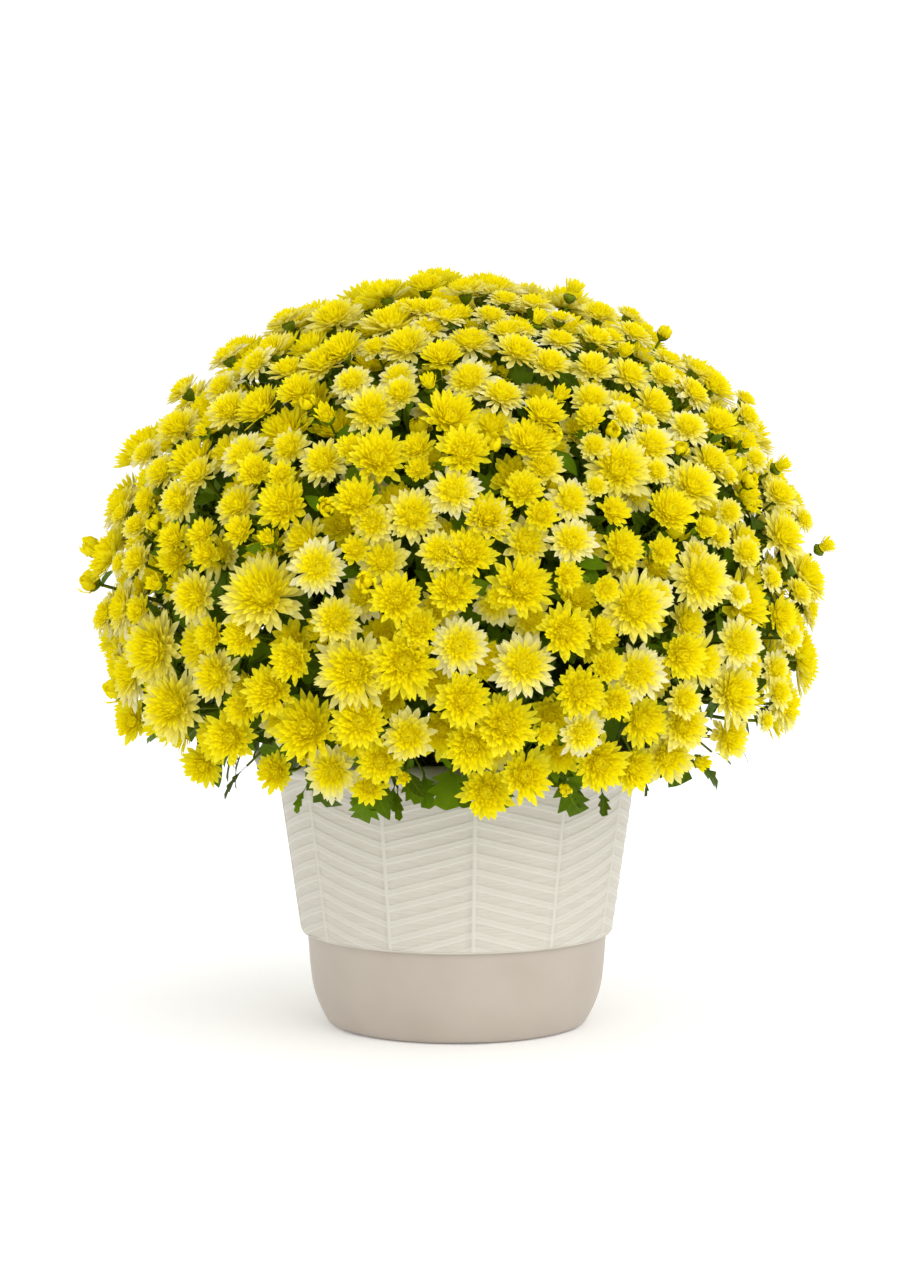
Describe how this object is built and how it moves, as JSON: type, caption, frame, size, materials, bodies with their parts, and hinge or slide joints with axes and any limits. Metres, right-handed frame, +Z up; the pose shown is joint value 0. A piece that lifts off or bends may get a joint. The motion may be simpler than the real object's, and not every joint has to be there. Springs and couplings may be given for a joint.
{
  "type": "pot chrysanthemum",
  "caption": "Dome-shaped yellow pot chrysanthemum in a round two-tone plastic pot with a slatted collar, a rolled lip and a notched foot ring.",
  "frame": {"origin": "on the pot's axis, in the plane that the foot ring stands on", "axes": "+Z up along the pot's axis; the front of the plant, as pictured, faces -Y"},
  "size_m": [0.5439, 0.5577, 0.5715],
  "materials": {
    "pot_plastic": "satin",
    "potting_mix": "matte",
    "woody_stem": "matte",
    "foliage": "satin",
    "petals": "matte"
  },
  "bodies": {
    "root": {"pot": "pot_plastic", "potting_mix": "potting_mix", "crown": "woody_stem", "shoot_01": "foliage", "shoot_02": "foliage", "shoot_03": "foliage", "shoot_04": "foliage", "shoot_05": "foliage", "shoot_06": "foliage", "shoot_07": "foliage", "shoot_08": "foliage", "shoot_09": "foliage", "shoot_10": "foliage", "shoot_11": "foliage", "shoot_12": "foliage", "shoot_13": "foliage", "shoot_14": "foliage", "shoot_15": "foliage", "shoot_16": "foliage", "shoot_17": "foliage", "shoot_18": "foliage", "shoot_19": "foliage", "shoot_20": "foliage", "shoot_21": "foliage", "shoot_22": "foliage", "spray_01": "petals", "spray_02": "petals", "spray_03": "petals", "spray_04": "petals", "spray_05": "petals", "spray_06": "petals", "spray_07": "petals", "spray_08": "petals", "spray_09": "petals", "spray_10": "petals", "spray_11": "petals", "spray_12": "petals", "spray_13": "petals", "spray_14": "petals", "spray_15": "petals", "spray_16": "petals", "spray_17": "petals", "spray_18": "petals", "spray_19": "petals", "spray_20": "petals", "spray_21": "petals", "spray_22": "petals"}
  },
  "joints": []
}
